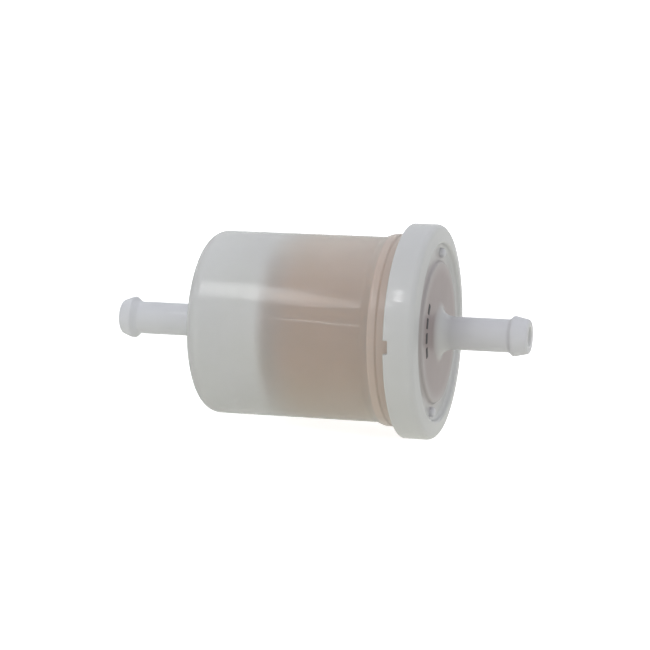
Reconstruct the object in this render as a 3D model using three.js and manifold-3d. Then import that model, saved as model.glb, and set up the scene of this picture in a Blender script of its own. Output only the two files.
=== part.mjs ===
// In-line fuel filter for a small engine, in millimetres, +Z up.
//
// The filter lies along X. Fuel enters the hose spigot at -X, fills the clear bowl, passes through
// the pleated paper from outside to inside, and leaves through the cap's spigot at +X.
// The origin is on the axis, half way between the two spigot tips.

import * as THREE from 'three';
import { mergeVertices } from 'three/addons/utils/BufferGeometryUtils.js';
import Module from 'manifold-3d';

// ---- Driving dimensions -------------------------------------------------------------------

const ROUND_SEGMENTS = 48; // facets round the big turned pieces
const SMALL_SEGMENTS = 24; // facets round the small ones
const ARC_STEPS = 4; // facets along a rounded corner
const DOME_STEPS = 3; // facets along the bowl's domed end

// Clearances
const FIT_GAP = 0.3; // between two pieces that seat on each other
const SKIRT_GAP = 1.0; // open gap between the cap's skirt and the bowl's neck
const RING_GAP = 0.6; // between the cap's locating ring and the bowl's bore
const FLOW_GAP = 0.9; // between the element and the bowl's bore, where the fuel passes
const PAPER_GAP = 0.3; // from the paper's folds to the core and to the edge of the end plates
const CLIP_GAP = 0.15; // between the seam clip and the paper

// Whole filter
const OVERALL_LENGTH = 104.6; // spigot tip to spigot tip
const HOSE_BORE_RADIUS = 2.5;

// Bowl
const BOWL_RADIUS = 22.75;
const BOWL_WALL = 1.7;
const DOME_RADIUS = 110; // the bowl's end bulges a little
const CORNER_RADIUS = 3.6; // rounded corner between the end and the wall
const SHOULDER_RISE = 0.85; // the raised shoulder in front of the cap
const SHOULDER_RAMP = 2.1;
const SHOULDER_WIDTH = 1.6;
const SHOULDER_SETBACK = 2.8; // shoulder to the edge of the cap's skirt
const NECK_DROP = 0.4; // the neck inside the skirt is this much lower than the shoulder

// Inlet spigot
const INLET_LENGTH = 22.1; // tip to the bowl's end face
const INLET_SHANK_RADIUS = 4.05;
const INLET_BARB_RADIUS = 5.2;
const INLET_BARB_NOSE = 2.8; // tip to crest
const INLET_BARB_BACK = 1.9; // crest to shank
const INLET_ROOT_FILLET = 1.0;

// Outlet spigot
const OUTLET_LENGTH = 22.5; // cap face to tip
const OUTLET_SHANK_RADIUS = 4.05;
const OUTLET_BARB_RADIUS = 4.9;
const OUTLET_BARB_NOSE = 3.5;
const OUTLET_BARB_BACK = 1.4;
const OUTLET_ROOT_FILLET = 3.5;

const TIP_ROUNDING = 0.7; // rounded mouth edge on both spigots
const BARB_CREST = 0.5; // flat top of both barbs

// Cap
const SKIRT_WALL = 2.1;
const CAP_DEPTH = 7.4; // cap face to the skirt's edge
const CAP_FLOOR = 2.6; // thickness behind the cap face
const RIM_WIDTH = 4.5; // rim outside the ring groove
const GROOVE_DEPTH = 1.0; // ring groove round the raised middle
const GROOVE_WIDTH = 4.6;
const GROOVE_DRAFT = 0.3; // slope of the groove's walls
const RIM_CROWN = 0.4; // the rim's inner edge stands this far above the cap face
const RIM_SETBACK = 0.3; // and its outer edge this far below it
const RIM_ROUNDING = 1.3;
const EDGE_ROUNDING = 0.4; // rounded edge of the skirt
const POCKET_DEPTH = 0.6; // weld pocket, deeper than the cap's inner floor
const WELD_LAND = 2.6; // length of skirt that is welded to the neck
const RING_THICKNESS = 2.8; // locating ring inside the cap
const RING_LENGTH = 1.8;
const NOTCH_WIDTH = 3.4; // drive notches in the skirt's edge
const NOTCH_DEPTH = 1.2;
const NOTCH_COUNT = 2;
const NIB_RADIUS = 1.2; // moulding nibs in the ring groove
const NIB_HEIGHT = 1.3;
const NIB_ROOT = 0.6; // sunk into the groove's floor
const NIB_COUNT = 2;
const NIB_TURN = THREE.MathUtils.degToRad(-13); // from the vertical, the upper one towards +Y
const STUB_WALL = 2.5; // the cap's inner tube, which the element fits over
const STUB_REACH = 3.0; // how far it reaches past the element's open plate

// Filter element
const CHAMBER_LENGTH = 17.5; // empty inlet chamber between the bowl's end and the element
const PLATE_THICKNESS = 1.6;
const PLATE_BOSS = 3.8; // length of the bosses that enter the core
const ADHESIVE_THICKNESS = 1.2;
const PLATE_BOSS_WALL = 2.2;
const CORE_WALL = 1.2;
const CORE_WINDOWS_ROUND = 6;
const CORE_WINDOWS_ALONG = 3;
const CORE_BAR = 2.4; // width of the bars between the windows
const PLEAT_COUNT = 36;
const PAPER_THICKNESS = 0.4;
const FOLD_GAP = 0.15; // half of the space inside a fold
const CLIP_THICKNESS = 0.35;
const CLIP_DEPTH = 2.2;
const SEAL_RIB = 1.2; // rib that holds the seal in place

// ---- Stations along the axis, worked out from the sizes above -----------------------------

const inletTip = -OVERALL_LENGTH / 2;
const bowlEnd = inletTip + INLET_LENGTH;
const bowlEndInside = bowlEnd + BOWL_WALL;
const outletTip = OVERALL_LENGTH / 2;
const capFace = outletTip - OUTLET_LENGTH;
const capFloor = capFace - CAP_FLOOR;
const skirtEdge = capFace - CAP_DEPTH;
const pocketFloor = capFloor + POCKET_DEPTH;
const neckEnd = pocketFloor - FIT_GAP;
const ringEnd = capFloor - RING_LENGTH;

const openPlateOutside = ringEnd - FIT_GAP;
const openPlateInside = openPlateOutside - PLATE_THICKNESS;
const stubEnd = openPlateInside - STUB_REACH;
const openAdhesiveStart = openPlateInside - FIT_GAP - ADHESIVE_THICKNESS;
const closedPlateOutside = bowlEndInside + CHAMBER_LENGTH;
const closedPlateInside = closedPlateOutside + PLATE_THICKNESS;
const closedAdhesiveStart = closedPlateInside + FIT_GAP;
const paperStart = closedAdhesiveStart + ADHESIVE_THICKNESS + FIT_GAP;
const paperEnd = openAdhesiveStart - FIT_GAP;
const paperLength = paperEnd - paperStart;

// ---- Radii, worked out in the same way ----------------------------------------------------

const bowlBore = BOWL_RADIUS - BOWL_WALL;
const shoulderRadius = BOWL_RADIUS + SHOULDER_RISE;
const neckRadius = shoulderRadius - NECK_DROP;
const skirtMouth = neckRadius + SKIRT_GAP;
const capRadius = skirtMouth + SKIRT_WALL;
const grooveOuterRadius = capRadius - RIM_WIDTH;
const capFaceRadius = grooveOuterRadius - GROOVE_WIDTH;
const ringRadius = bowlBore - RING_GAP;
const stubRadius = HOSE_BORE_RADIUS + STUB_WALL;
const plateRadius = bowlBore - FLOW_GAP;
const plateHole = stubRadius + FIT_GAP;
const bossRadius = plateHole + PLATE_BOSS_WALL;
const coreBore = bossRadius + FIT_GAP;
const coreRadius = coreBore + CORE_WALL;
const paperOuterRadius = plateRadius - PAPER_GAP;
const paperInnerRadius = coreRadius + PAPER_GAP;
const sealSectionRadius = (capFloor - openPlateOutside) / 2 - FIT_GAP;
const sealRadius = plateHole + sealSectionRadius;

// ---- Materials ----------------------------------------------------------------------------

function plastic(color, roughness) {
  return new THREE.MeshStandardMaterial({ color, roughness, metalness: 0 });
}

const bowlNylon = plastic(0xc9cccb, 0.35);
const capNylon = plastic(0xc2c3c6, 0.35);
const filterPaper = plastic(0xb59a7c, 0.9);
const plateNylon = plastic(0xbfae9d, 0.5);
const adhesive = plastic(0xa98a68, 0.45);
const coreNylon = plastic(0xd8d4cb, 0.5);
const clipNylon = plastic(0xd9d6cf, 0.5);
const sealRubber = plastic(0x26272a, 0.7);

// ---- Shape helpers ------------------------------------------------------------------------

// Quarter of an ellipse from (x0, r0) to (x1, r1), without its first point. It leaves the first
// point across the axis when startAcross is true, and along the axis otherwise.
function roundedCorner(x0, r0, x1, r1, startAcross) {
  const points = [];
  for (let i = 1; i <= ARC_STEPS; i += 1) {
    const turn = (Math.PI / 2) * (i / ARC_STEPS);
    const early = Math.sin(turn);
    const late = 1 - Math.cos(turn);
    const alongX = startAcross ? late : early;
    const alongR = startAcross ? early : late;
    points.push([x0 + (x1 - x0) * alongX, r0 + (r1 - r0) * alongR]);
  }
  return points;
}

// Solid of revolution about the filter's axis from an outline of [x, radius] points, in either
// direction. An outline that doesn't start and end on the axis is closed on itself.
function turned(outline, segments) {
  const points = outline.map(([x, radius]) => new THREE.Vector2(radius, x));
  if (THREE.ShapeUtils.area(points) < 0) {
    points.reverse();
  }
  const first = points[0];
  const last = points[points.length - 1];
  if (first.x > 0 || last.x > 0) {
    points.push(first.clone());
  }
  return new THREE.LatheGeometry(points, segments);
}

const wasm = await Module();
wasm.setup();

function toSolid(geometry) {
  const bare = geometry.clone();
  bare.deleteAttribute('normal');
  bare.deleteAttribute('uv');
  const welded = mergeVertices(bare, 1e-4);
  const mesh = new wasm.Mesh({
    numProp: 3,
    vertProperties: new Float32Array(welded.attributes.position.array),
    triVerts: new Uint32Array(welded.index.array),
  });
  return new wasm.Manifold(mesh);
}

function toGeometry(solid) {
  const mesh = solid.getMesh();
  const geometry = new THREE.BufferGeometry();
  geometry.setAttribute('position', new THREE.BufferAttribute(mesh.vertProperties, 3));
  geometry.setIndex(new THREE.BufferAttribute(mesh.triVerts, 1));
  geometry.computeVertexNormals();
  return geometry;
}

// ---- Housing ------------------------------------------------------------------------------

// Outline of a hose spigot's outside, from its mouth to the end of its shank. side is -1 for the
// inlet, whose mouth faces -X, and +1 for the outlet.
function spigotOutline(tip, side, shankRadius, barbRadius, nose, back) {
  const mouthRadius = shankRadius - TIP_ROUNDING / 2;
  return [
    [tip, HOSE_BORE_RADIUS],
    [tip, mouthRadius],
    ...roundedCorner(tip, mouthRadius, tip - side * TIP_ROUNDING, mouthRadius + TIP_ROUNDING, true),
    [tip - side * nose, barbRadius],
    [tip - side * (nose + BARB_CREST), barbRadius],
    [tip - side * (nose + back), shankRadius],
  ];
}

// The bowl's end: a shallow dome, and the rounded corner that runs on from it into the wall. Both
// arcs keep their centres and shrink by the inset, which is 0 outside and the wall inside.
function domedEnd(inset) {
  const cornerRing = BOWL_RADIUS - CORNER_RADIUS;
  const reach = DOME_RADIUS - CORNER_RADIUS;
  const meeting = Math.asin(cornerRing / reach);
  const domeCentre = bowlEnd + DOME_RADIUS;
  const cornerCentre = domeCentre - reach * Math.cos(meeting);
  const points = [];
  for (let i = 1; i <= DOME_STEPS; i += 1) {
    const turn = meeting * (i / DOME_STEPS);
    const radius = DOME_RADIUS - inset;
    points.push([domeCentre - radius * Math.cos(turn), radius * Math.sin(turn)]);
  }
  for (let i = 1; i <= ARC_STEPS; i += 1) {
    const turn = meeting + (Math.PI / 2 - meeting) * (i / ARC_STEPS);
    const radius = CORNER_RADIUS - inset;
    points.push([cornerCentre - radius * Math.cos(turn), cornerRing + radius * Math.sin(turn)]);
  }
  return points;
}

// The clear bowl: inlet spigot, domed end, a straight wall with a raised shoulder, and the neck that
// is welded into the cap.
function inletBowl() {
  const rampStart = skirtEdge - SHOULDER_SETBACK - SHOULDER_WIDTH - SHOULDER_RAMP;
  const shank = INLET_SHANK_RADIUS;
  const fillet = INLET_ROOT_FILLET;
  const outline = [
    ...spigotOutline(inletTip, -1, shank, INLET_BARB_RADIUS, INLET_BARB_NOSE, INLET_BARB_BACK),
    [bowlEnd - fillet, shank],
    ...roundedCorner(bowlEnd - fillet, shank, bowlEnd, shank + fillet, false),
    ...domedEnd(0),
    [rampStart, BOWL_RADIUS],
    [rampStart + SHOULDER_RAMP, shoulderRadius],
    [rampStart + SHOULDER_RAMP + SHOULDER_WIDTH, shoulderRadius],
    [skirtEdge - SHOULDER_SETBACK + NECK_DROP, neckRadius],
    [neckEnd, neckRadius],
    [neckEnd, bowlBore],
    ...domedEnd(BOWL_WALL).reverse(),
    [bowlEndInside, HOSE_BORE_RADIUS],
  ];
  return turned(outline, ROUND_SEGMENTS);
}

// The outlet cap before its notches and nibs: spigot, raised middle, ring groove, crowned rim,
// skirt, weld pocket, locating ring and inner tube.
function capBlank() {
  const shank = OUTLET_SHANK_RADIUS;
  const fillet = OUTLET_ROOT_FILLET;
  const grooveFloor = capFace - GROOVE_DEPTH;
  const rimOuter = capFace - RIM_SETBACK;
  const spigot = spigotOutline(outletTip, 1, shank, OUTLET_BARB_RADIUS, OUTLET_BARB_NOSE, OUTLET_BARB_BACK);
  const outline = [
    ...spigot,
    [capFace + fillet, shank],
    ...roundedCorner(capFace + fillet, shank, capFace, shank + fillet, false),
    [capFace, capFaceRadius],
    [grooveFloor, capFaceRadius + GROOVE_DRAFT],
    [grooveFloor, grooveOuterRadius - GROOVE_DRAFT],
    [capFace + RIM_CROWN, grooveOuterRadius],
    [rimOuter, capRadius - RIM_ROUNDING],
    ...roundedCorner(rimOuter, capRadius - RIM_ROUNDING, rimOuter - RIM_ROUNDING, capRadius, true),
    [skirtEdge + EDGE_ROUNDING, capRadius],
    [skirtEdge, capRadius - EDGE_ROUNDING],
    [skirtEdge, skirtMouth],
    [pocketFloor - WELD_LAND, skirtMouth],
    [pocketFloor - WELD_LAND, neckRadius + FIT_GAP],
    [pocketFloor, neckRadius + FIT_GAP],
    [pocketFloor, ringRadius],
    [ringEnd, ringRadius],
    [ringEnd, ringRadius - RING_THICKNESS],
    [capFloor, ringRadius - RING_THICKNESS],
    [capFloor, stubRadius],
    [stubEnd, stubRadius],
    [stubEnd, HOSE_BORE_RADIUS],
  ];
  return turned(outline, ROUND_SEGMENTS);
}

// Copies of one geometry, spread evenly about the filter's axis.
function aroundAxis(geometry, count, start) {
  const copies = [];
  for (let i = 0; i < count; i += 1) {
    copies.push(geometry.clone().rotateY(start + (i / count) * 2 * Math.PI));
  }
  return copies;
}

function outletCap() {
  const notchReach = SKIRT_GAP + 2 * SKIRT_WALL;
  const notch = new THREE.BoxGeometry(notchReach, 2 * NOTCH_DEPTH, NOTCH_WIDTH);
  notch.translate(skirtMouth + SKIRT_WALL / 2, skirtEdge, 0);
  const nibLength = NIB_HEIGHT + NIB_ROOT;
  const nib = new THREE.CylinderGeometry(NIB_RADIUS, NIB_RADIUS, nibLength, SMALL_SEGMENTS / 2);
  const nibFoot = capFace - GROOVE_DEPTH - NIB_ROOT;
  nib.translate(0, nibFoot + nibLength / 2, (capFaceRadius + grooveOuterRadius) / 2);
  let solid = toSolid(capBlank());
  for (const copy of aroundAxis(notch, NOTCH_COUNT, 0)) {
    solid = solid.subtract(toSolid(copy));
  }
  for (const copy of aroundAxis(nib, NIB_COUNT, NIB_TURN)) {
    solid = solid.add(toSolid(copy));
  }
  return toGeometry(solid);
}

// ---- Filter element -----------------------------------------------------------------------

// Closed plate at the inlet end, with a boss that centres the core.
function closedEndPlate() {
  return turned([
    [closedPlateInside + PLATE_BOSS, 0],
    [closedPlateInside + PLATE_BOSS, bossRadius],
    [closedPlateInside, bossRadius],
    [closedPlateInside, plateRadius],
    [closedPlateOutside, plateRadius],
    [closedPlateOutside, 0],
  ], ROUND_SEGMENTS);
}

// Open plate at the outlet end: a hole for the cap's inner tube, a boss that centres the core and a
// rib that keeps the seal ring in place.
function openEndPlate() {
  const ribRadius = sealRadius + sealSectionRadius + FIT_GAP;
  const ribEnd = capFloor - FIT_GAP;
  return turned([
    [openPlateInside - PLATE_BOSS, plateHole],
    [openPlateOutside, plateHole],
    [openPlateOutside, ribRadius],
    [ribEnd, ribRadius],
    [ribEnd, ribRadius + SEAL_RIB],
    [openPlateOutside, ribRadius + SEAL_RIB],
    [openPlateOutside, plateRadius],
    [openPlateInside, plateRadius],
    [openPlateInside, bossRadius],
    [openPlateInside - PLATE_BOSS, bossRadius],
  ], ROUND_SEGMENTS);
}

// Ring of adhesive that the ends of the pleats are set in.
function adhesiveRing(start) {
  return turned([
    [start, coreBore],
    [start + ADHESIVE_THICKNESS, coreBore],
    [start + ADHESIVE_THICKNESS, paperOuterRadius],
    [start, paperOuterRadius],
  ], ROUND_SEGMENTS);
}

// Moulded tube with windows, which keeps the pleats from being drawn inwards.
function supportCore() {
  const tube = turned([
    [paperStart, coreBore],
    [paperEnd, coreBore],
    [paperEnd, coreRadius],
    [paperStart, coreRadius],
  ], SMALL_SEGMENTS);
  const pitch = (paperLength - CORE_BAR) / CORE_WINDOWS_ALONG;
  const chord = 2 * coreBore * Math.sin(Math.PI / CORE_WINDOWS_ROUND) - CORE_BAR;
  let solid = toSolid(tube);
  for (let i = 0; i < CORE_WINDOWS_ALONG; i += 1) {
    const window = new THREE.BoxGeometry(2 * CORE_WALL + coreBore / 2, pitch - CORE_BAR, chord);
    window.translate(coreRadius, paperStart + CORE_BAR + pitch * i + (pitch - CORE_BAR) / 2, 0);
    for (const copy of aroundAxis(window, CORE_WINDOWS_ROUND, 0)) {
      solid = solid.subtract(toSolid(copy));
    }
  }
  return toGeometry(solid);
}

function polar(radius, angle, offset) {
  const turn = angle + offset / radius;
  return new THREE.Vector2(radius * Math.cos(turn), radius * Math.sin(turn));
}

// Section of the folded paper: a star-shaped ring of constant thickness.
function pleatSection() {
  const outer = [];
  const inner = [];
  const t = PAPER_THICKNESS;
  for (let i = 0; i < PLEAT_COUNT; i += 1) {
    const crest = (i / PLEAT_COUNT) * 2 * Math.PI;
    const valley = crest + Math.PI / PLEAT_COUNT;
    outer.push(polar(paperOuterRadius, crest, -FOLD_GAP - t));
    outer.push(polar(paperOuterRadius, crest, FOLD_GAP + t));
    outer.push(polar(paperInnerRadius + t, valley, -FOLD_GAP));
    outer.push(polar(paperInnerRadius + t, valley, FOLD_GAP));
    inner.push(polar(paperOuterRadius - t, crest, -FOLD_GAP));
    inner.push(polar(paperOuterRadius - t, crest, FOLD_GAP));
    inner.push(polar(paperInnerRadius, valley, -FOLD_GAP - t));
    inner.push(polar(paperInnerRadius, valley, FOLD_GAP + t));
  }
  const section = new THREE.Shape(outer);
  section.holes.push(new THREE.Path(inner));
  return section;
}

function pleatedPaper() {
  return new THREE.ExtrudeGeometry(pleatSection(), { depth: paperLength, bevelEnabled: false });
}

// U-shaped clip pressed over the fold where the paper's two ends meet.
function seamClip() {
  const inside = FOLD_GAP + PAPER_THICKNESS + CLIP_GAP;
  const outside = inside + CLIP_THICKNESS;
  const roof = paperOuterRadius + CLIP_GAP;
  const section = new THREE.Shape([
    new THREE.Vector2(roof - CLIP_DEPTH, inside),
    new THREE.Vector2(roof, inside),
    new THREE.Vector2(roof, -inside),
    new THREE.Vector2(roof - CLIP_DEPTH, -inside),
    new THREE.Vector2(roof - CLIP_DEPTH, -outside),
    new THREE.Vector2(roof + CLIP_THICKNESS, -outside),
    new THREE.Vector2(roof + CLIP_THICKNESS, outside),
    new THREE.Vector2(roof - CLIP_DEPTH, outside),
  ]);
  return new THREE.ExtrudeGeometry(section, { depth: paperLength, bevelEnabled: false });
}

// Rubber ring squeezed between the open plate and the cap's floor.
function sealRing() {
  return new THREE.TorusGeometry(sealRadius, sealSectionRadius, 8, SMALL_SEGMENTS);
}

// ---- Assembly -----------------------------------------------------------------------------

const filter = new THREE.Group();

function addTo(group, name, geometry, material) {
  const mesh = new THREE.Mesh(geometry, material);
  mesh.name = name;
  group.add(mesh);
}

// Turned pieces are drawn about Y, and this group lays that axis along +X.
const turnedPieces = new THREE.Group();
turnedPieces.rotation.z = -Math.PI / 2;
filter.add(turnedPieces);
addTo(turnedPieces, 'inlet_bowl', inletBowl(), bowlNylon);
addTo(turnedPieces, 'outlet_cap', outletCap(), capNylon);
addTo(turnedPieces, 'closed_end_plate', closedEndPlate(), plateNylon);
addTo(turnedPieces, 'open_end_plate', openEndPlate(), plateNylon);
addTo(turnedPieces, 'closed_end_adhesive', adhesiveRing(closedAdhesiveStart), adhesive);
addTo(turnedPieces, 'open_end_adhesive', adhesiveRing(openAdhesiveStart), adhesive);
addTo(turnedPieces, 'support_core', supportCore(), coreNylon);

// Extruded pieces are drawn in XY, and this group lays their length along +X.
const extrudedPieces = new THREE.Group();
extrudedPieces.rotation.y = Math.PI / 2;
extrudedPieces.position.x = paperStart;
filter.add(extrudedPieces);
addTo(extrudedPieces, 'pleated_paper', pleatedPaper(), filterPaper);
addTo(extrudedPieces, 'seam_clip', seamClip(), clipNylon);

// The seal ring lies flat against the open plate.
const sealSeat = new THREE.Group();
sealSeat.rotation.y = Math.PI / 2;
sealSeat.position.x = (openPlateOutside + capFloor) / 2;
filter.add(sealSeat);
addTo(sealSeat, 'seal_ring', sealRing(), sealRubber);

export default filter;
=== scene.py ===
# %% [markdown]
# # An in-line fuel filter
#
# This notebook dresses a small fuel filter: a milky nylon bowl with a hose spigot, a thick welded
# cap with a second spigot, and a pleated paper element that shows dimly through the walls.
# The CAD model is loaded first as a fixed frame. It gives every size and place, and nothing in it
# is moved. Each piece that shows is then modelled finely around it, as by hand, one step at a time.

# %% Load the frame
import math

import bmesh
import bpy
from mathutils import Matrix, Vector


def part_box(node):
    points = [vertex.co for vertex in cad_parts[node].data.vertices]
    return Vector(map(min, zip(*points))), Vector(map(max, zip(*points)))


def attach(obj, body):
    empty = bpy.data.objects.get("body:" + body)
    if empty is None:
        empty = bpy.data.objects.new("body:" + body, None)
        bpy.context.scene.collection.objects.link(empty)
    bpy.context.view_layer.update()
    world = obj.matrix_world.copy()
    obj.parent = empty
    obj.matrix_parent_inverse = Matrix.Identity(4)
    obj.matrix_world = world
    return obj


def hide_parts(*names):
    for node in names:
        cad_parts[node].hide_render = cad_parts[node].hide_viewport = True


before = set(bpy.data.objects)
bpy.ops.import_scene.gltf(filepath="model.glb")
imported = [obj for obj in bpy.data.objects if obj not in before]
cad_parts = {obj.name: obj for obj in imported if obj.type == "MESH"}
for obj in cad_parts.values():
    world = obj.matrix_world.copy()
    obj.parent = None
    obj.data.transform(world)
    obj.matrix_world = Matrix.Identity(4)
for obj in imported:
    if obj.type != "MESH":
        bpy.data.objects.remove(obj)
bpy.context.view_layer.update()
print("CAD nodes:", ", ".join(sorted(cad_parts)))

# %% [markdown]
# ## Camera
#
# The filter lies along X. We look at it from the front, a little from the cap's side and a little
# from above, with a long lens from 0.6 m, which keeps the far side nearly as large as the near one.
# The camera is built from its three directions: back towards the camera, right, and up. That way
# its turn about its own axis, its roll, is one plain angle.

# %% Camera
MM = 0.001
VIEW_DISTANCE = 0.6
VIEW_YAW = math.radians(16.39)  # towards the cap's side
VIEW_RISE = math.radians(9.0)
VIEW_ROLL = math.radians(0.25)
AIM_ALONG = 2.08 * MM  # the point looked at, on the filter's axis
FRAME_SHIFT_RIGHT = -1.30 * MM  # the whole view slides sideways and up by this much
FRAME_SHIFT_UP = 0.45 * MM
VIEW_WIDTH = 160.5 * MM  # width of the view at the filter
SENSOR_WIDTH = 36.0  # millimetres, as Blender's cameras count them

back = Vector((
    math.sin(VIEW_YAW) * math.cos(VIEW_RISE),
    -math.cos(VIEW_YAW) * math.cos(VIEW_RISE),
    math.sin(VIEW_RISE),
))
level_right = Vector((math.cos(VIEW_YAW), math.sin(VIEW_YAW), 0.0))
level_up = back.cross(level_right)
right = math.cos(VIEW_ROLL) * level_right + math.sin(VIEW_ROLL) * level_up
up = math.cos(VIEW_ROLL) * level_up - math.sin(VIEW_ROLL) * level_right

camera_data = bpy.data.cameras.new("camera")
camera_data.sensor_width = SENSOR_WIDTH
camera_data.lens = SENSOR_WIDTH * VIEW_DISTANCE / VIEW_WIDTH
camera_data.clip_start = 0.01
camera = bpy.data.objects.new("camera", camera_data)
bpy.context.scene.collection.objects.link(camera)
place = Vector((AIM_ALONG, 0, 0)) + back * VIEW_DISTANCE
place += right * FRAME_SHIFT_RIGHT + up * FRAME_SHIFT_UP
turn = Matrix((right, up, back)).transposed().to_4x4()
camera.matrix_world = Matrix.Translation(place) @ turn
bpy.context.scene.camera = camera
print("camera lens, mm:", round(camera_data.lens, 1))

# %% [markdown]
# ## Helpers for modelling by hand
#
# Operators act on what is selected, so each step begins with nothing selected. `pick` selects the
# vertices, edges or faces that pass a test of their place, which is what a hand does with a mouse.

# %% Selecting
CLOSE = 0.002 * MM  # two points nearer than this are one


def deselect_all():
    if bpy.context.mode != "OBJECT":
        bpy.ops.object.mode_set(mode="OBJECT")
    bpy.ops.object.select_all(action="DESELECT")


def edit(piece):
    deselect_all()
    piece.select_set(True)
    bpy.context.view_layer.objects.active = piece
    bpy.ops.object.mode_set(mode="EDIT")


def pick(piece, kind, test):
    bpy.ops.mesh.select_mode(type=kind)
    bpy.ops.mesh.select_all(action="DESELECT")
    mesh = bmesh.from_edit_mesh(piece.data)
    choices = {"VERT": mesh.verts, "EDGE": mesh.edges, "FACE": mesh.faces}[kind]
    found = [item for item in choices if test(item)]
    for item in found:
        item.select_set(True)
    mesh.select_flush_mode()
    bmesh.update_edit_mesh(piece.data)
    return len(found)


# %% [markdown]
# Every big piece of this filter is round, so it is made as on a lathe. We draw half of its section
# by extruding one vertex from corner to corner, round the corners by bevelling their vertices, and
# spin the outline about X. A corner is written as its place along X, its radius, and its rounding.
# The seam is merged and the normals are made to point outwards before the piece is shaded smooth.
# Smooth shading alone would bend the light on a long wall towards the small roundings at its ends.
# Weighted normals let the big faces keep their own direction, so a straight wall stays straight.

# %% Turning a piece on the lathe
SPIN_STEPS = 160
ROUND_STEPS = 4  # facets along a rounded corner
FINE_ROUNDING = 0.2 * MM  # three sizes of rounding for the corners that need no size of their own
SMALL_ROUNDING = 0.3 * MM
SOFT_ROUNDING = 0.5 * MM
SMOOTH_ANGLE = math.radians(32)


def draw_outline(name, corners):
    deselect_all()
    bpy.ops.mesh.primitive_plane_add(size=MM)
    piece = bpy.context.object
    piece.name = name
    piece.data.name = name
    bpy.ops.object.mode_set(mode="EDIT")
    bpy.ops.mesh.select_all(action="SELECT")
    bpy.ops.mesh.merge(type="CENTER")
    bpy.ops.transform.translate(value=(corners[0][0], 0, corners[0][1]))
    for here, there in zip(corners, corners[1:]):
        step = (there[0] - here[0], 0, there[1] - here[1])
        bpy.ops.mesh.extrude_region_move(TRANSFORM_OT_translate={"value": step})
    return piece


def round_corners(piece, corners):
    sizes = {rounding for x, radius, rounding in corners if rounding > 0}
    for size in sorted(sizes):
        places = [Vector((x, 0, radius)) for x, radius, rounding in corners if rounding == size]
        pick(piece, "VERT", lambda v: any((v.co - p).length < CLOSE for p in places))
        bpy.ops.mesh.bevel(offset=size, segments=ROUND_STEPS, affect="VERTICES")


def finish_mesh(piece):
    bpy.ops.mesh.select_all(action="SELECT")
    bpy.ops.mesh.remove_doubles(threshold=CLOSE)
    bpy.ops.mesh.normals_make_consistent(inside=False)
    bpy.ops.object.mode_set(mode="OBJECT")
    bpy.ops.object.shade_smooth_by_angle(angle=SMOOTH_ANGLE)
    weighted = piece.modifiers.new("weighted normals", "WEIGHTED_NORMAL")
    weighted.keep_sharp = True
    bpy.ops.object.modifier_apply(modifier=weighted.name)
    mesh = bmesh.new()
    mesh.from_mesh(piece.data)
    loose = sum(1 for edge in mesh.edges if not edge.is_manifold)
    print(f"{piece.name}: {len(mesh.faces)} faces, {loose} open edges")
    mesh.free()
    return piece


def turned(name, corners):
    on_axis = corners[0][1] == 0 and corners[-1][1] == 0
    path = corners if on_axis else corners + corners[:1]
    piece = draw_outline(name, path)
    bpy.ops.mesh.select_all(action="SELECT")
    bpy.ops.mesh.remove_doubles(threshold=CLOSE)
    round_corners(piece, corners)
    bpy.ops.mesh.select_all(action="SELECT")
    bpy.ops.mesh.spin(steps=SPIN_STEPS, angle=math.tau, center=(0, 0, 0), axis=(1, 0, 0))
    return finish_mesh(piece)


# %% [markdown]
# Both hose spigots have the same outline: a mouth, a sloping nose, the barb's flat crest, its steep
# back and the shank. They fit the same hose, so the shank and the bore are the same size, and only
# the barbs differ. One function gives the corners of both.

# %% Hose spigot outline
HOSE_BORE = 2.5 * MM  # this and the next three are radii
SHANK_RADIUS = 4.05 * MM
INLET_BARB = 5.2 * MM
OUTLET_BARB = 4.9 * MM
BORE_EDGE = 0.25 * MM
TIP_FLARE = 0.08 * MM
TIP_ROUNDING = 0.55 * MM
BARB_CREST = 0.5 * MM
CREST_ROUNDING = 0.2 * MM
BARB_FOOT_ROUNDING = 0.3 * MM


def spigot_corners(tip, side, barb, nose, back_length):
    """Outside of a spigot, from its mouth to its shank. side is -1 at the inlet, +1 at the outlet."""
    mouth = SHANK_RADIUS + TIP_FLARE
    return [
        (tip, HOSE_BORE, BORE_EDGE),
        (tip, mouth, TIP_ROUNDING),
        (tip - side * nose, barb, CREST_ROUNDING),
        (tip - side * (nose + BARB_CREST), barb, CREST_ROUNDING),
        (tip - side * (nose + back_length), SHANK_RADIUS, BARB_FOOT_ROUNDING),
    ]


# %% [markdown]
# ## Bowl
#
# The bowl and its inlet spigot are one moulding with a thin wall, so it is drawn as one closed
# outline: along the outside from the spigot's mouth to the welded neck, and back along the inside.
# Its stations come from the CAD node's box, and the rest are the moulding's own sizes.

# %% Bowl sizes
INLET_LENGTH = 22.1 * MM
INLET_NOSE = 2.8 * MM
INLET_BARB_BACK = 1.9 * MM
BOWL_RADIUS = 22.75 * MM
BOWL_WALL = 1.7 * MM
DOME_RADIUS = 110 * MM  # the bowl's end bulges a little
CORNER_RADIUS = 3.6 * MM  # and its corner is rounded off
RAMP_LENGTH = 2.1 * MM  # the rise from the wall to the shoulder
SHOULDER_LENGTH = 1.6 * MM
SHOULDER_TO_CAP = 2.8 * MM
NECK_DROP = 0.4 * MM
SHOULDER_ROUNDING = 0.18 * MM
CAP_DEPTH = 7.4 * MM
OUTLET_LENGTH = 22.5 * MM

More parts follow.
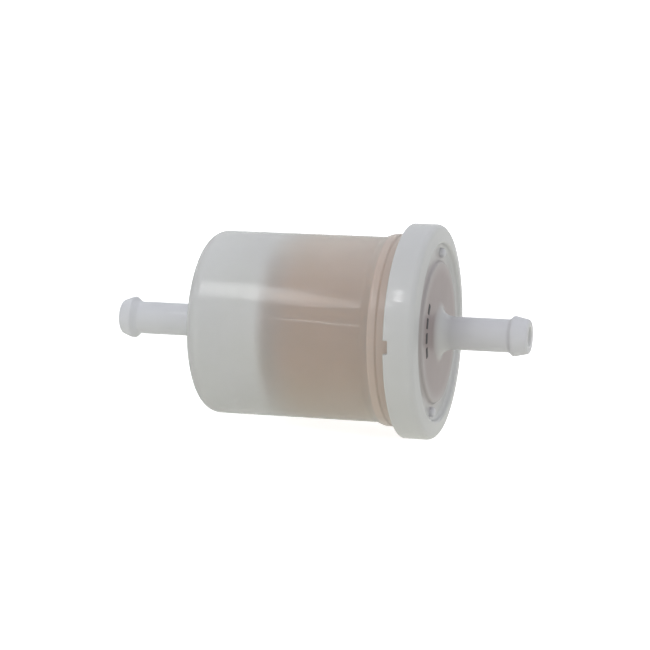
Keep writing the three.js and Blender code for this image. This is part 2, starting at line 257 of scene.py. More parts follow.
bowl_low, bowl_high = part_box("inlet_bowl")
cap_low, cap_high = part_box("outlet_cap")
inlet_tip = bowl_low.x
bowl_end = inlet_tip + INLET_LENGTH
neck_end = bowl_high.x
shoulder_radius = bowl_high.z
neck_radius = shoulder_radius - NECK_DROP
bowl_bore = BOWL_RADIUS - BOWL_WALL
outlet_tip = cap_high.x
cap_face = outlet_tip - OUTLET_LENGTH
skirt_edge = cap_face - CAP_DEPTH
shoulder_end = skirt_edge - SHOULDER_TO_CAP
shoulder_start = shoulder_end - SHOULDER_LENGTH
ramp_start = shoulder_start - RAMP_LENGTH
print("bowl from", round(bowl_end / MM, 2), "to", round(neck_end / MM, 2), "mm")

# %% [markdown]
# The bowl's end is a shallow dome that runs into the rounded corner without a kink. That holds when
# the corner's circle touches the dome's circle from inside, so their centres are as far apart as
# their radii differ. The inside has the same centres, and both radii are less by the wall.

# %% Domed end
DOME_STEPS = 10
CORNER_STEPS = 8

corner_ring = BOWL_RADIUS - CORNER_RADIUS
dome_to_corner = DOME_RADIUS - CORNER_RADIUS
meeting = math.asin(corner_ring / dome_to_corner)
dome_centre = bowl_end + DOME_RADIUS
corner_centre = dome_centre - dome_to_corner * math.cos(meeting)


def domed_end(inset):
    """Points from near the axis to the straight wall. inset is 0 outside and the wall inside."""
    points = []
    dome = DOME_RADIUS - inset
    corner = CORNER_RADIUS - inset
    for i in range(1, DOME_STEPS + 1):
        angle = meeting * i / DOME_STEPS
        points.append((dome_centre - dome * math.cos(angle), dome * math.sin(angle), 0))
    for i in range(1, CORNER_STEPS + 1):
        angle = meeting + (math.pi / 2 - meeting) * i / CORNER_STEPS
        reach = corner_ring + corner * math.sin(angle)
        points.append((corner_centre - corner * math.cos(angle), reach, 0))
    return points


# the dome starts outside the spigot's root fillet
ROOT_FILLET = 1.0 * MM
outer_end = [point for point in domed_end(0) if point[1] > SHANK_RADIUS + ROOT_FILLET]
print("points on the domed end:", len(outer_end))

# %% Bowl
bowl_corners = spigot_corners(inlet_tip, -1, INLET_BARB, INLET_NOSE, INLET_BARB_BACK)
bowl_corners.append((bowl_end, SHANK_RADIUS, ROOT_FILLET))
bowl_corners += outer_end
bowl_corners += [
    (ramp_start, BOWL_RADIUS, SOFT_ROUNDING),
    (shoulder_start, shoulder_radius, SOFT_ROUNDING),
    (shoulder_end, shoulder_radius, SHOULDER_ROUNDING),
    (shoulder_end + NECK_DROP, neck_radius, SHOULDER_ROUNDING),
    (neck_end, neck_radius, SMALL_ROUNDING),
    (neck_end, bowl_bore, SMALL_ROUNDING),
]
bowl_corners += domed_end(BOWL_WALL)[::-1]
bowl_corners.append((bowl_end + BOWL_WALL, HOSE_BORE, SOFT_ROUNDING))
bowl = turned("bowl_shell", bowl_corners)

# %% [markdown]
# ## Cap
#
# The cap is one thick moulding too: spigot, raised middle, ring groove, crowned rim, skirt, and
# inside it the weld pocket, the locating ring and the tube that the element fits over. It is turned
# like the bowl. Its outside runs down to the skirt's edge, and its inside runs back to the bore.

# %% Cap sizes
OUTLET_NOSE = 3.5 * MM
OUTLET_BARB_BACK = 1.4 * MM
OUTLET_FILLET = 3.5 * MM
CAP_FLOOR = 2.6 * MM
RIM_WIDTH = 4.5 * MM
GROOVE_WIDTH = 4.6 * MM
GROOVE_DEPTH = 1.0 * MM
GROOVE_DRAFT = 0.3 * MM
RIM_CROWN = 0.4 * MM
RIM_SETBACK = 0.3 * MM
RIM_ROUNDING = 1.3 * MM
CREST_OF_RIM_ROUNDING = 0.7 * MM
SKIRT_WALL = 2.1 * MM
SKIRT_ROUNDING = 0.4 * MM
SKIRT_MOUTH_ROUNDING = 0.25 * MM
GROOVE_ROUNDING = 0.6 * MM
POCKET_ROUNDING = 0.1 * MM
RING_THICKNESS = 2.8 * MM
RING_LENGTH = 1.8 * MM
RING_GAP = 0.6 * MM  # between the locating ring and the bowl
STUB_WALL = 2.5 * MM
WELD_LAND = 2.6 * MM
FIT_GAP = 0.3 * MM

cap_radius = cap_high.z
skirt_mouth = cap_radius - SKIRT_WALL
groove_outer = cap_radius - RIM_WIDTH
face_radius = groove_outer - GROOVE_WIDTH
cap_floor = cap_face - CAP_FLOOR
pocket_floor = neck_end + FIT_GAP
ring_end = cap_floor - RING_LENGTH
ring_radius = bowl_bore - RING_GAP
stub_radius = HOSE_BORE + STUB_WALL
print("cap face", round(cap_face / MM, 2), "mm, raised middle", round(face_radius / MM, 2), "mm")

# %% Cap blank
cap_corners = spigot_corners(outlet_tip, 1, OUTLET_BARB, OUTLET_NOSE, OUTLET_BARB_BACK)
cap_corners += [
    (cap_face, SHANK_RADIUS, OUTLET_FILLET),
    (cap_face, face_radius, SOFT_ROUNDING),
    (cap_face - GROOVE_DEPTH, face_radius + GROOVE_DRAFT, SOFT_ROUNDING),
    (cap_face - GROOVE_DEPTH, groove_outer - GROOVE_DRAFT, GROOVE_ROUNDING),
    (cap_face + RIM_CROWN, groove_outer, CREST_OF_RIM_ROUNDING),
    (cap_face - RIM_SETBACK, cap_radius, RIM_ROUNDING),
    (skirt_edge, cap_radius, SKIRT_ROUNDING),
    (skirt_edge, skirt_mouth, SKIRT_MOUTH_ROUNDING),
    (pocket_floor - WELD_LAND, skirt_mouth, FINE_ROUNDING),
    (pocket_floor - WELD_LAND, neck_radius + FIT_GAP, POCKET_ROUNDING),
    (pocket_floor, neck_radius + FIT_GAP, FINE_ROUNDING),
    (pocket_floor, ring_radius, FINE_ROUNDING),
    (ring_end, ring_radius, SMALL_ROUNDING),
    (ring_end, ring_radius - RING_THICKNESS, SMALL_ROUNDING),
    (cap_floor, ring_radius - RING_THICKNESS, FINE_ROUNDING),
    (cap_floor, stub_radius, SMALL_ROUNDING),
    (cap_low.x, stub_radius, SOFT_ROUNDING),
    (cap_low.x, HOSE_BORE, BORE_EDGE),
]
cap = turned("cap_shell", cap_corners)

# %% [markdown]
# Two notches in the skirt's edge take the tool that spins the cap on to the bowl, and two small
# moulding nibs stand in the ring groove. The notches are cut and the nibs are joined with Boolean
# modifiers, because they meet a round wall that an inset or an extrude wouldn't follow.

# %% Boolean by hand
HALF_TURN = math.pi


def apply_boolean(piece, other, operation):
    deselect_all()
    bpy.context.view_layer.objects.active = piece
    boolean = piece.modifiers.new("boolean", "BOOLEAN")
    boolean.operation = operation
    boolean.object = other
    bpy.ops.object.modifier_apply(modifier=boolean.name)
    bpy.data.objects.remove(other)


def opposite_copy(piece):
    """A copy with its own mesh, half a turn further round the filter's axis."""
    copy = piece.copy()
    copy.data = piece.data.copy()
    bpy.context.scene.collection.objects.link(copy)
    copy.data.transform(Matrix.Rotation(HALF_TURN, 4, "X"))
    return copy


# %% Drive notches
NOTCH_WIDTH = 3.4 * MM
NOTCH_DEPTH = 1.2 * MM
NOTCH_CORNER = 0.3 * MM

deselect_all()
bpy.ops.mesh.primitive_cube_add(size=1, location=(skirt_edge, -cap_radius, 0))
notch = bpy.context.object
notch.scale = (2 * NOTCH_DEPTH, 2 * SKIRT_WALL + 2 * MM, NOTCH_WIDTH)
bpy.ops.object.transform_apply(location=True, rotation=True, scale=True)
edit(notch)
pick(notch, "EDGE", lambda e: abs(e.verts[0].co.y - e.verts[1].co.y) > SKIRT_WALL)
bpy.ops.mesh.bevel(offset=NOTCH_CORNER, segments=3, affect="EDGES")
bpy.ops.object.mode_set(mode="OBJECT")
far_notch = opposite_copy(notch)
apply_boolean(cap, notch, "DIFFERENCE")
apply_boolean(cap, far_notch, "DIFFERENCE")

# %% Moulding nibs
NIB_RADIUS = 1.2 * MM
NIB_HEIGHT = 1.3 * MM
NIB_ROOT = 0.5 * MM  # sunk into the groove's floor
NIB_ROUNDING = 0.8 * MM
NIB_TURN = math.radians(13)  # from the top, towards +Y

groove_floor = cap_face - GROOVE_DEPTH
nib_length = NIB_HEIGHT + NIB_ROOT
nib_reach = (face_radius + groove_outer) / 2
nib_middle = (
    groove_floor - NIB_ROOT + nib_length / 2,
    nib_reach * math.sin(NIB_TURN),
    nib_reach * math.cos(NIB_TURN),
)
deselect_all()
bpy.ops.mesh.primitive_cylinder_add(
    vertices=32, radius=NIB_RADIUS, depth=nib_length,
    location=nib_middle, rotation=(0, math.pi / 2, 0),
)
nib = bpy.context.object
bpy.ops.object.transform_apply(location=True, rotation=True, scale=True)
edit(nib)
nib_top = groove_floor + NIB_HEIGHT
pick(nib, "FACE", lambda f: f.calc_center_median().x > nib_top - CLOSE)
bpy.ops.mesh.bevel(offset=NIB_ROUNDING, segments=6, affect="EDGES")
bpy.ops.object.mode_set(mode="OBJECT")
far_nib = opposite_copy(nib)
apply_boolean(cap, nib, "UNION")
apply_boolean(cap, far_nib, "UNION")
edit(cap)
finish_mesh(cap)

# %% [markdown]
# ## Filter element
#
# The paper is one sheet folded to a star and closed to a ring. It starts as a circle with two
# vertices for each pleat. Every second one is drawn in to the inner radius, the folds are rounded
# by bevelling the vertices, and the line is extruded along X and given the paper's thickness. One
# pleat could be copied round instead, but then every fold would be a seam to merge.

# %% Pleated paper
PLEATS = 36
PAPER_THICKNESS = 0.4 * MM
PAPER_GAP = 0.3 * MM
CORE_RADIUS = 9.0 * MM
FOLD_ROUNDING = 0.7 * MM
PAPER_CUTS = 9

paper_low, paper_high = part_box("pleated_paper")
outer_fold = paper_high.y - PAPER_THICKNESS / 2
inner_fold = CORE_RADIUS + PAPER_GAP + PAPER_THICKNESS / 2
deselect_all()
bpy.ops.mesh.primitive_circle_add(
    vertices=2 * PLEATS, radius=outer_fold,
    location=(paper_low.x, 0, 0), rotation=(0, math.pi / 2, 0),
)
paper = bpy.context.object
paper.name = "folded_paper"
paper.data.name = paper.name
bpy.ops.object.transform_apply(location=True, rotation=True, scale=True)
edit(paper)


def fold_number(vertex):
    return round(math.atan2(vertex.co.y, -vertex.co.z) / (math.pi / PLEATS))


pick(paper, "VERT", lambda v: fold_number(v) % 2 == 1)
draw_in = inner_fold / outer_fold
bpy.ops.transform.resize(value=(1, draw_in, draw_in), center_override=(0, 0, 0))
bpy.ops.mesh.select_all(action="SELECT")
bpy.ops.mesh.bevel(offset=FOLD_ROUNDING, segments=4, affect="VERTICES")
step = (paper_high.x - paper_low.x) / PAPER_CUTS
for cut in range(PAPER_CUTS):
    bpy.ops.mesh.extrude_region_move(TRANSFORM_OT_translate={"value": (step, 0, 0)})
bpy.ops.mesh.select_all(action="SELECT")
bpy.ops.mesh.normals_make_consistent(inside=False)
bpy.ops.object.mode_set(mode="OBJECT")
solidify = paper.modifiers.new("thickness", "SOLIDIFY")
solidify.thickness = PAPER_THICKNESS
solidify.offset = 0
bpy.ops.object.modifier_apply(modifier=solidify.name)
edit(paper)
finish_mesh(paper)

# %% [markdown]
# The paper's ends are glued into two moulded plates, which are turned like the bowl. The closed one
# has no hole, so its outline starts and ends on the axis and the spin closes both poles. The open
# one fits over the cap's tube, and a rib on it holds the seal.

# %% End plates
PLATE_THICKNESS = 1.6 * MM
PLATE_EDGE = 0.45 * MM
BOSS_RADIUS = 7.5 * MM
BOSS_ROUNDING = 0.6 * MM
BOSS_FILLET = 0.4 * MM
HOLE_ROUNDING = 0.4 * MM
SEAL_RIB = 1.2 * MM

closed_low, closed_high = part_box("closed_end_plate")
plate_inside = closed_low.x + PLATE_THICKNESS
closed_plate = turned("closed_plate", [
    (closed_high.x, 0, 0),
    (closed_high.x, BOSS_RADIUS, BOSS_ROUNDING),
    (plate_inside, BOSS_RADIUS, BOSS_FILLET),
    (plate_inside, closed_high.z, PLATE_EDGE),
    (closed_low.x, closed_high.z, PLATE_EDGE),
    (closed_low.x, 0, 0),
])

open_low, open_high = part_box("open_end_plate")
open_outside = ring_end - FIT_GAP
open_inside = open_outside - PLATE_THICKNESS
plate_hole = stub_radius + FIT_GAP
seal_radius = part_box("seal_ring")[1].z
rib_radius = seal_radius + FIT_GAP
open_plate = turned("open_plate", [
    (open_low.x, plate_hole, HOLE_ROUNDING),
    (open_outside, plate_hole, SMALL_ROUNDING),
    (open_outside, rib_radius, FINE_ROUNDING),
    (open_high.x, rib_radius, SMALL_ROUNDING),
    (open_high.x, rib_radius + SEAL_RIB, SMALL_ROUNDING),
    (open_outside, rib_radius + SEAL_RIB, FINE_ROUNDING),
    (open_outside, open_high.z, PLATE_EDGE),
    (open_inside, open_high.z, PLATE_EDGE),
    (open_inside, BOSS_RADIUS, BOSS_FILLET),
    (open_low.x, BOSS_RADIUS, BOSS_ROUNDING),
])

# %% [markdown]
# ## Ink marks
#
# The raised middle of the cap carries a few printed marks. Plain dashes stand for them here, each
# a thin closed pad of ink: a small plane with rounded corners, extruded and copied round the axis.

# %% Ink marks
DASH_LENGTH = 2.6 * MM
DASH_WIDTH = 1.5 * MM
DASH_CORNER = 0.3 * MM
INK_THICKNESS = 0.05 * MM
DASH_REACH = 12.8 * MM
DASH_TURNS = [math.radians(turn) for turn in (-14, 2, 18, 34)]  # from -Y, upwards


def ink_dash(turn):
    deselect_all()
    bpy.ops.mesh.primitive_plane_add(size=1, location=(0, 0, 0))
    dash = bpy.context.object
    dash.scale = (DASH_WIDTH, DASH_LENGTH, 1)
    bpy.ops.object.transform_apply(location=True, rotation=True, scale=True)
    edit(dash)
    bpy.ops.mesh.select_all(action="SELECT")
    bpy.ops.mesh.bevel(offset=DASH_CORNER, segments=3, affect="VERTICES")
    bpy.ops.mesh.select_all(action="SELECT")
    bpy.ops.mesh.extrude_region_move(TRANSFORM_OT_translate={"value": (0, 0, INK_THICKNESS)})
    bpy.ops.mesh.select_all(action="SELECT")
    bpy.ops.mesh.normals_make_consistent(inside=False)
    bpy.ops.object.mode_set(mode="OBJECT")
    lay_on_face = Matrix((
        (0, 0, 1, cap_face),
        (-1, 0, 0, -DASH_REACH),
        (0, -1, 0, 0),
        (0, 0, 0, 1),
    ))
    dash.data.transform(Matrix.Rotation(-turn, 4, "X") @ lay_on_face)
    return dash


dashes = [ink_dash(turn) for turn in DASH_TURNS]
deselect_all()
for dash in dashes:
    dash.select_set(True)
bpy.context.view_layer.objects.active = dashes[0]
bpy.ops.object.join()
ink = bpy.context.object
ink.name = "ink_marks"
ink.data.name = ink.name
edit(ink)
finish_mesh(ink)

# %% [markdown]
# ## Materials
#
# A few small helpers come first. They make a material with its Principled shader, put a node in a
# tree with its inputs set, make a node group and place it, and give a finish to a piece or to the
# faces of it that pass a test.

# %% Material helpers
def new_material(name):
    material = bpy.data.materials.new(name)
    material.use_nodes = True
    tree = material.node_tree
    tree.nodes.clear()
    output = tree.nodes.new("ShaderNodeOutputMaterial")
    shader = tree.nodes.new("ShaderNodeBsdfPrincipled")
    tree.links.new(shader.outputs["BSDF"], output.inputs["Surface"])
    return material, tree, shader


def add(tree, kind, inputs=None, **settings):
    node = tree.nodes.new(kind)
    for name, value in settings.items():
        setattr(node, name, value)
    for name, value in (inputs or {}).items():
        if isinstance(value, bpy.types.NodeSocket):
            tree.links.new(value, node.inputs[name])
        else:
            node.inputs[name].default_value = value
    return node


def calculate(tree, operation, first, second):
    return add(tree, "ShaderNodeMath", {0: first, 1: second}, operation=operation).outputs[0]


def new_group(name, inputs, outputs):
    """A shader node group. inputs gives each socket's default, outputs each socket's type."""
    tree = bpy.data.node_groups.new(name, "ShaderNodeTree")
    for label, value in inputs.items():
        kind = "NodeSocketColor" if isinstance(value, tuple) else "NodeSocketFloat"
        socket = tree.interface.new_socket(name=label, in_out="INPUT", socket_type=kind)
        socket.default_value = value
    for label, kind in outputs.items():
        tree.interface.new_socket(name=label, in_out="OUTPUT", socket_type=kind)
    return tree, tree.nodes.new("NodeGroupInput").outputs, tree.nodes.new("NodeGroupOutput").inputs


def place_group(tree, group, inputs):
    node = add(tree, "ShaderNodeGroup", node_tree=group)
    for name, value in inputs.items():
        node.inputs[name].default_value = value
    return node.outputs


def dress(piece, material):
    piece.data.materials.clear()
    piece.data.materials.append(material)


def dress_where(piece, material, test):
    """Gives a second finish to the faces that pass a test of their centre and normal."""
    piece.data.materials.append(material)
    slot = len(piece.data.materials) - 1
    chosen = [face for face in piece.data.polygons if test(face.center, face.normal)]
    for face in chosen:
        face.material_index = slot
    print(f"{piece.name}: {len(chosen)} faces in {material.name}")


# %% [markdown]
# Natural nylon is never one flat white. It is a little clearer here and cloudier there, as it
# flowed in the mould. `cloudy` mixes two colours by soft noise. `moulded` gives the surface its
# fine skin: a roughness that varies a little, and a bump with a fine grain and a slow wave.

# %% Shared effects
def make_cloudy():
    tree, given, out = new_group(
        "cloudy",
        {"Light": (1, 1, 1, 1), "Dark": (0, 0, 0, 1), "Scale": 100.0},
        {"Color": "NodeSocketColor"},
    )
    place = add(tree, "ShaderNodeTexCoord").outputs["Object"]
    noise = add(tree, "ShaderNodeTexNoise", {
        "Vector": place, "Scale": given["Scale"], "Detail": 3.0,
    })
    spread = add(tree, "ShaderNodeMapRange", {
        "Value": noise.outputs["Fac"], "From Min": 0.3, "From Max": 0.7,
    })
    mix = add(tree, "ShaderNodeMix", data_type="RGBA")
    tree.links.new(spread.outputs["Result"], mix.inputs["Factor"])
    tree.links.new(given["Light"], mix.inputs["A"])
    tree.links.new(given["Dark"], mix.inputs["B"])
    tree.links.new(mix.outputs["Result"], out["Color"])
    return tree


def make_moulded():
    tree, given, out = new_group(
        "moulded",
        {
            "Roughness": 0.4, "Variation": 0.1,
            "Grain Scale": 3000.0, "Grain Depth": 0.00001,
            "Wave Scale": 120.0, "Wave Depth": 0.0001,
        },
        {"Roughness": "NodeSocketFloat", "Normal": "NodeSocketVector"},
    )
    place = add(tree, "ShaderNodeTexCoord").outputs["Object"]
    grain = add(tree, "ShaderNodeTexNoise", {
        "Vector": place, "Scale": given["Grain Scale"], "Detail": 2.0,
    })
    wave = add(tree, "ShaderNodeTexNoise", {
        "Vector": place, "Scale": given["Wave Scale"], "Detail": 1.0,
    })
    slow = add(tree, "ShaderNodeBump", {
        "Height": wave.outputs["Fac"], "Distance": given["Wave Depth"],
    })
    fine = add(tree, "ShaderNodeBump", {
        "Height": grain.outputs["Fac"],
        "Distance": given["Grain Depth"],
        "Normal": slow.outputs["Normal"],
    })
    tree.links.new(fine.outputs["Normal"], out["Normal"])
    centred = calculate(tree, "SUBTRACT", wave.outputs["Fac"], 0.5)
    change = calculate(tree, "MULTIPLY", centred, given["Variation"])
    tree.links.new(calculate(tree, "ADD", given["Roughness"], change), out["Roughness"])
    return tree


cloudy = make_cloudy()
moulded = make_moulded()

# %% [markdown]
# Light that wanders about inside a milky wall comes out again with the colour of what lies behind
# it, and over a few millimetres it blurs the edge away. A surface shader has no such depth, so the
# wall's own colour takes a warm tinge over the paper and fades out beside it. Two masks say where:
# `fade_along` rises along X, and `fade_across` rises with the distance from the filter's axis.

# %% Fades along and across
def make_fade(name, measure):
    tree, given, out = new_group(name, {"From": 0.0, "To": 1.0}, {"Mask": "NodeSocketFloat"})
    place = add(tree, "ShaderNodeTexCoord").outputs["Object"]
    fade = add(tree, "ShaderNodeMapRange", {
        "Value": measure(tree, place), "From Min": given["From"], "From Max": given["To"],
    }, interpolation_type="SMOOTHSTEP")
    tree.links.new(fade.outputs["Result"], out["Mask"])
    return tree


def place_along(tree, place):
    return add(tree, "ShaderNodeSeparateXYZ", {"Vector": place}).outputs["X"]


def distance_from_axis(tree, place):
    flat = add(tree, "ShaderNodeVectorMath", {0: place, 1: (0, 1, 1)}, operation="MULTIPLY")
    reach = add(tree, "ShaderNodeVectorMath", {0: flat.outputs[0]}, operation="LENGTH")
    return reach.outputs["Value"]


fade_along = make_fade("fade_along", place_along)
fade_across = make_fade("fade_across", distance_from_axis)

# %% [markdown]
# Every nylon finish here is the same shader with other numbers. Clearness is how much light goes
# through. A high roughness scatters that light, so what lies behind is blurred, as in real nylon.
# The gloss of the moulded skin is a thin, smooth coat on top, because the surface is still shiny.


# %% Nylon
def nylon(name, light, dark, clearness, roughness, coat):
    material, tree, shader = new_material(name)
    colour = place_group(tree, cloudy, {"Light": light, "Dark": dark, "Scale": 90.0})
    skin = place_group(tree, moulded, {
        "Roughness": roughness, "Variation": 0.1, "Grain Scale": 2500.0,
        "Grain Depth": 0.000004, "Wave Scale": 160.0, "Wave Depth": 0.0001,
    })
    tree.links.new(colour["Color"], shader.inputs["Base Color"])
    tree.links.new(skin["Roughness"], shader.inputs["Roughness"])
    tree.links.new(skin["Normal"], shader.inputs["Normal"])
    shader.inputs["IOR"].default_value = 1.53
    shader.inputs["Transmission Weight"].default_value = clearness
    shader.inputs["Coat Weight"].default_value = coat
    shader.inputs["Coat Roughness"].default_value = 0.07
    shader.inputs["Coat IOR"].default_value = 1.45
    return material


def tinge(material, colour, masks):
    """Multiplies the material's colour by another one where all the masks are 1."""
    tree = material.node_tree
    shader = next(node for node in tree.nodes if node.type == "BSDF_PRINCIPLED")
    plain = shader.inputs["Base Color"].links[0].from_socket
    amount = place_group(tree, masks[0][0], {"From": masks[0][1], "To": masks[0][2]})["Mask"]
    for group, start, end in masks[1:]:
        more = place_group(tree, group, {"From": start, "To": end})["Mask"]
        amount = calculate(tree, "MULTIPLY", amount, more)
    mix = add(tree, "ShaderNodeMix", data_type="RGBA", blend_type="MULTIPLY")
    tree.links.new(amount, mix.inputs["Factor"])
    tree.links.new(plain, mix.inputs["A"])
    mix.inputs["B"].default_value = colour
    tree.links.new(mix.outputs["Result"], shader.inputs["Base Color"])
    return material


# %% [markdown]
# The bowl has three finishes. Its outer skin is milky. Its inside was shaped by a polished core and
# is clearer. The spigot looks cloudier than the wall, because more nylon lies behind it. The raised
# shoulder and the neck share its cloudier, paler finish as painted light: a painted highlight band on
# the shoulder's crest, and a neck painted lighter against the shade of the cap's skirt. The outer skin
# darkens a little near the end plate before it turns warm.

# %% Dress the bowl
OVER_PAPER = [(fade_along, -12.5 * MM, 0.5 * MM)]
PAPER_TINGE = (0.985, 0.905, 0.83, 1)
DEEP_TINGE = (0.83, 0.70, 0.595, 1)  # the same where the wall is thick
NEAR_PLATE = [(fade_along, -24.0 * MM, -13.0 * MM)]
PLATE_TINGE = (0.95, 0.945, 0.94, 1)

wall_light, wall_dark = (0.90, 0.905, 0.91, 1), (0.87, 0.88, 0.865, 1)
wall_nylon = nylon("bowl nylon", wall_light, wall_dark, clearness=0.65, roughness=0.75, coat=0.5)
dress(bowl, tinge(tinge(wall_nylon, PLATE_TINGE, NEAR_PLATE), PAPER_TINGE, OVER_PAPER))


def faces_inwards(centre, normal):
    towards_axis = normal.dot(Vector((0, centre.y, centre.z))) < 0
    on_end = normal.x > 0.5 and centre.x < corner_centre
    return (towards_axis or on_end) and centre.x > bowl_end


# The spigot is thick nylon. The shoulder and neck take the same pale finish as painted light: a painted
# highlight band on the shoulder's crest, and painted light against the skirt's shade on the neck.
def thick_or_painted_light(centre, normal):
    on_shoulder = centre.x > shoulder_start - 0.2 * MM
    reach = math.hypot(centre.y, centre.z)
    return centre.x < bowl_end or on_shoulder and reach > BOWL_RADIUS


inner_light, inner_dark = (0.99, 0.99, 0.99, 1), (0.98, 0.98, 0.98, 1)
inner_nylon = nylon("inner wall nylon", inner_light, inner_dark, clearness=1.0, roughness=0.5, coat=0.0)
dress_where(bowl, inner_nylon, faces_inwards)
# These pale colours are partly painted light on the shoulder and neck, and partly the thick spigot's
# own tone.
thick_and_lit_pale, thick_and_lit_dark = (0.93, 0.94, 0.97, 1), (0.89, 0.90, 0.93, 1)
thick_nylon_and_painted_light = nylon("thick nylon and painted light", thick_and_lit_pale, thick_and_lit_dark, clearness=0.4, roughness=0.5, coat=0.5)
dress_where(bowl, tinge(thick_nylon_and_painted_light, DEEP_TINGE, OVER_PAPER), thick_or_painted_light)

# %% [markdown]
# The cap is as cloudy as the thick parts of the bowl. The brown end plate shows through its raised
# middle, so the colour there takes a tinge that fades out towards the spigot and towards the rim.
# The nibs stand proud of that and stay pale. Both bores get a plain pale finish, because so much
# light wanders about in the spigots that their mouths never look dark.

# %% Dress the cap
END_TINGE = (0.55, 0.44, 0.44, 1)
OVER_PLATE = [(fade_across, 4.5 * MM, 8.0 * MM), (fade_across, 21.5 * MM, 13.5 * MM)]
DISC_TINGE = (0.95, 0.955, 0.915, 1)  # all but the spigot, which is thinner and bluer
ON_DISC = [(fade_along, cap_face + 6.0 * MM, cap_face)]
cap_light, cap_dark = (0.835, 0.835, 0.87, 1), (0.80, 0.80, 0.825, 1)


def on_nib(centre, normal):
    side = 1 if centre.z > 0 else -1
    off_axis = math.hypot(centre.y - side * nib_middle[1], centre.z - side * nib_middle[2])
    return off_axis < NIB_RADIUS + CLOSE and centre.x > groove_floor + CLOSE


def in_bore(centre, normal):
    return math.hypot(centre.y, centre.z) < HOSE_BORE + BORE_EDGE


cap_nylon = nylon("cap nylon", cap_light, cap_dark, clearness=0.3, roughness=0.5, coat=0.5)
dress(cap, tinge(tinge(cap_nylon, DISC_TINGE, ON_DISC), END_TINGE, OVER_PLATE))
nib_nylon = nylon("nib nylon", cap_light, cap_dark, clearness=0.3, roughness=0.5, coat=0.5)
dress_where(cap, nib_nylon, on_nib)
bore_light, bore_dark = (0.87, 0.87, 0.87, 1), (0.84, 0.84, 0.84, 1)
bore_nylon = nylon("bore nylon", bore_light, bore_dark, clearness=0.0, roughness=0.5, coat=0.0)
for piece in (bowl, cap):
    dress_where(piece, bore_nylon, in_bore)

# %% [markdown]
# Paper, plates, glue, core, seal and ink let no light through. They share one helper, and each has
# its own colours, roughness and size of mottling. The paper and the plates are more orange here
# than they look in the end, because the milky wall in front takes much of the colour away.


# %% Solid finishes
def solid_finish(name, light, dark, roughness, size):
    material, tree, shader = new_material(name)
    colour = place_group(tree, cloudy, {"Light": light, "Dark": dark, "Scale": size})
    skin = place_group(tree, moulded, {
        "Roughness": roughness, "Variation": 0.2, "Grain Scale": 1800.0,
        "Grain Depth": 0.00003, "Wave Scale": 300.0, "Wave Depth": 0.00005,
    })
    tree.links.new(colour["Color"], shader.inputs["Base Color"])
    tree.links.new(skin["Roughness"], shader.inputs["Roughness"])
    tree.links.new(skin["Normal"], shader.inputs["Normal"])
    return material


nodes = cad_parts
glue = [nodes["closed_end_adhesive"], nodes["open_end_adhesive"]]
core = [nodes["support_core"], nodes["seam_clip"]]
for pieces, name, light, dark, roughness, size in [
    ([paper], "filter paper", (0.90, 0.58, 0.34, 1), (0.82, 0.51, 0.29, 1), 0.9, 900.0),
    ([open_plate], "end plate", (0.80, 0.50, 0.32, 1), (0.74, 0.45, 0.28, 1), 0.6, 200.0),
    ([closed_plate], "closed plate", (0.78, 0.72, 0.67, 1), (0.72, 0.66, 0.61, 1), 0.6, 200.0),
    (glue, "end adhesive", (0.35, 0.2, 0.08, 1), (0.3, 0.16, 0.06, 1), 0.35, 150.0),
    (core, "core nylon", (0.75, 0.72, 0.66, 1), (0.68, 0.65, 0.6, 1), 0.5, 200.0),
    ([nodes["seal_ring"]], "seal rubber", (0.03, 0.03, 0.032, 1), (0.02, 0.02, 0.02, 1), 0.7, 300.0),
    ([ink], "ink", (0.05, 0.045, 0.05, 1), (0.03, 0.03, 0.03, 1), 0.5, 900.0),
]:
    finish = solid_finish(name, light, dark, roughness, size)
    for piece in pieces:
        dress(piece, finish)
    print(f"{name}: {len(pieces)} piece(s)")

# %% [markdown]
# ## Stage and light
#
# The filter has no foot. Laid down, it rests on the rim of its cap and on the corner of its bowl,
# and the cap is wider, so its axis isn't level. Here the filter stays straight and the floor is
# tipped instead. The floor glows a little for the camera, so it comes out as a plain pale ground,
# and the nylon doesn't mirror it.

# %% Floor
FLOOR_GLOW = 0.75

rest_front = Vector((skirt_edge + SKIRT_ROUNDING, 0, -cap_radius))
rest_back = Vector((corner_centre, 0, -BOWL_RADIUS))
slope = math.atan2(rest_back.z - rest_front.z, rest_front.x - rest_back.x)
deselect_all()
bpy.ops.mesh.primitive_plane_add(size=8, location=rest_front, rotation=(0, slope, 0))
floor = bpy.context.object
floor.name = "floor"
bpy.ops.object.transform_apply(location=True, rotation=True, scale=True)
print("floor slope, degrees:", round(math.degrees(slope), 2))

floor_material, floor_tree, floor_shader = new_material("floor")
floor_shader.inputs["Base Color"].default_value = (0.8, 0.8, 0.8, 1)
floor_shader.inputs["Roughness"].default_value = 1.0
floor_shader.inputs["Specular IOR Level"].default_value = 0.0
seen = add(floor_tree, "ShaderNodeLightPath").outputs["Is Camera Ray"]
glow = calculate(floor_tree, "MULTIPLY", seen, FLOOR_GLOW)
floor_shader.inputs["Emission Color"].default_value = (1, 1, 1, 1)
floor_tree.links.new(glow, floor_shader.inputs["Emission Strength"])
dress(floor, floor_material)
floor.visible_diffuse = False
floor.visible_glossy = False
floor.visible_transmission = False

# %% [markdown]
# Most of the light is an even room: a world that is a little cooler above and warmer below. The
# camera itself sees plain white there. Four soft lamps add what the gloss mirrors: a window with a
# long slanting streak on the bowl, a thin strip below it, and a narrow pane that shines on the cap.

# %% World
ROOM_STRENGTH = 1.53
WARM_BELOW = (0.53, 0.53, 0.49, 1)
COOL_ABOVE = (0.49, 0.50, 0.53, 1)

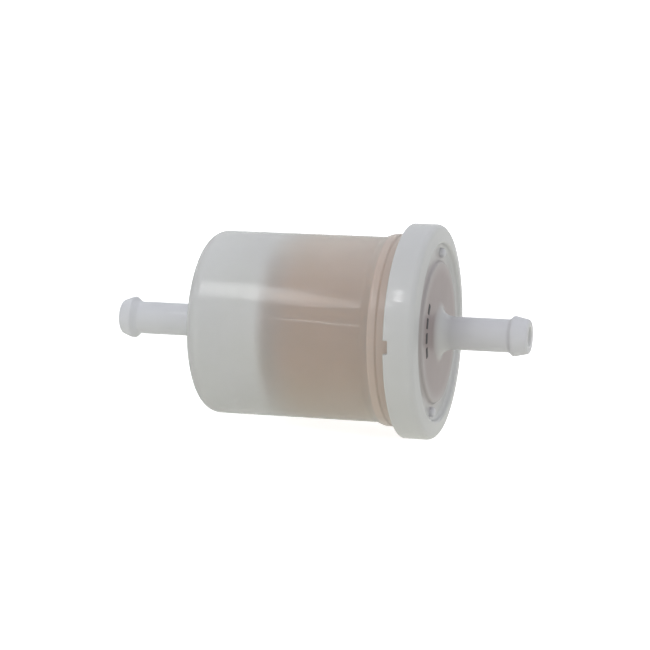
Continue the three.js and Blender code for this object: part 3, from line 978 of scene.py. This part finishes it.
world = bpy.data.worlds.new("studio")
bpy.context.scene.world = world
world.use_nodes = True
sky = world.node_tree
sky.nodes.clear()
direction = add(sky, "ShaderNodeTexCoord").outputs["Generated"]
height = add(sky, "ShaderNodeSeparateXYZ", {"Vector": direction}).outputs["Z"]
blend = add(sky, "ShaderNodeMapRange", {"Value": height, "From Min": -0.6, "From Max": 0.8})
shade = add(sky, "ShaderNodeMix", data_type="RGBA")
sky.links.new(blend.outputs["Result"], shade.inputs["Factor"])
shade.inputs["A"].default_value = WARM_BELOW
shade.inputs["B"].default_value = COOL_ABOVE
lit = add(sky, "ShaderNodeBackground", {"Color": shade.outputs["Result"], "Strength": ROOM_STRENGTH})
white = add(sky, "ShaderNodeBackground", {"Color": (1, 1, 1, 1), "Strength": 1.0})
choose = add(sky, "ShaderNodeMixShader")
sky.links.new(add(sky, "ShaderNodeLightPath").outputs["Is Camera Ray"], choose.inputs["Fac"])
sky.links.new(lit.outputs[0], choose.inputs[1])
sky.links.new(white.outputs[0], choose.inputs[2])
sky_output = add(sky, "ShaderNodeOutputWorld")
sky.links.new(choose.outputs[0], sky_output.inputs["Surface"])

# %% Lamps
LAMP_DISTANCE = 0.8


def soft_lamp(name, direction, width, height, power, lean):
    """A soft box that looks at the origin. lean turns it about that line, in degrees."""
    data = bpy.data.lights.new(name, "AREA")
    data.shape = "RECTANGLE"
    data.size = width
    data.size_y = height
    data.energy = power
    lamp = bpy.data.objects.new(name, data)
    bpy.context.scene.collection.objects.link(lamp)
    aim = Vector(direction).normalized()
    facing = aim.to_track_quat("Z", "Y").to_matrix().to_4x4()
    lean_turn = Matrix.Rotation(math.radians(lean), 4, "Z")
    lamp.matrix_world = Matrix.Translation(aim * LAMP_DISTANCE) @ facing @ lean_turn
    lamp.visible_transmission = False
    print(f"{name}: {width} x {height} m, {power} W")


soft_lamp("window", (-0.325, -0.650, 0.690), 0.085, 0.22, power=0.17, lean=17.0)
soft_lamp("window streak", (-0.309, -0.660, 0.685), 0.07, 0.36, power=0.40, lean=32.5)
soft_lamp("strip", (-0.256, -0.935, 0.220), 0.11, 0.012, power=0.033, lean=-50.0)
soft_lamp("pane", (-0.2035, -0.692, 0.692), 0.012, 0.18, power=0.12, lean=12.0)
bpy.context.scene.view_settings.view_transform = "Standard"

# %% [markdown]
# ## Hand the pieces to the frame
#
# Each new piece stands for a CAD node, which is hidden, and rides on the one body there is,
# because nothing in a welded filter moves. The ink stands for no node and only rides.

for piece, node, slot in [
    (bowl, "inlet_bowl", "bowl_nylon"),
    (cap, "outlet_cap", "cap_nylon"),
    (paper, "pleated_paper", "filter_paper"),
    (closed_plate, "closed_end_plate", "plate_nylon"),
    (open_plate, "open_end_plate", "plate_nylon"),
]:
    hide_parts(node)
    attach(piece, "root")
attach(ink, "root")
